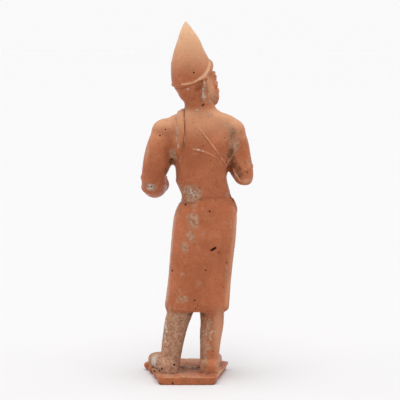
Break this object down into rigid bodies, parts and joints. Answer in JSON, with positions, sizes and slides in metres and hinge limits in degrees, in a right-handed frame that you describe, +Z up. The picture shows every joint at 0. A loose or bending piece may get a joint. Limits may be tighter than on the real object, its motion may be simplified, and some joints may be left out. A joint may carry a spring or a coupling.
{
  "type": "terracotta foreigner figure",
  "caption": "Standing terracotta tomb figure of a bearded foreigner in a tall pointed hat and belted knee-length coat, on a thin six-sided plinth.",
  "frame": {"origin": "centre of the plinth's flat underside", "axes": "+Z up, -Y towards the figure's front (the way its chest and plinth face), +X towards the figure's own left hand"},
  "size_m": [0.1109, 0.0792, 0.3516],
  "materials": {
    "terracotta": "matt unglazed fired clay, orange-brown, with buff and grey soil deposits in places"
  },
  "bodies": {
    "root": {"foreigner_figure": "terracotta"}
  },
  "joints": []
}
